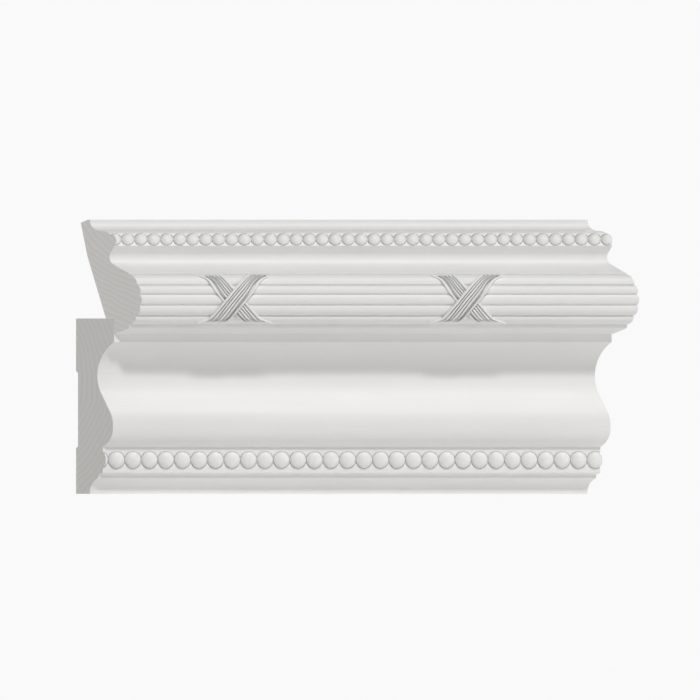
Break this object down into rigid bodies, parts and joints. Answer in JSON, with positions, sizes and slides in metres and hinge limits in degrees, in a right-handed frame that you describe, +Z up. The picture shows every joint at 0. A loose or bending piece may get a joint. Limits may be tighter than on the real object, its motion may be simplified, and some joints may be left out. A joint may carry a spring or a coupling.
{
  "type": "chair rail",
  "caption": "Two-piece wall chair rail, mitred at both ends: ribbon-and-reed cap with small pearls, lapped over a coved moulding with a row of larger pearls.",
  "frame": {"origin": "middle of the upper band of the lower moulding's back, on the wall plane, halfway along the rail", "axes": "+X along the rail to the right as seen from the room, +Y into the wall, +Z up"},
  "size_m": [0.3452, 0.042, 0.168],
  "materials": {
    "lower_paint": "satin",
    "upper_paint": "satin"
  },
  "bodies": {
    "root": {"lower_moulding": "lower_paint", "upper_moulding": "upper_paint"}
  },
  "joints": []
}
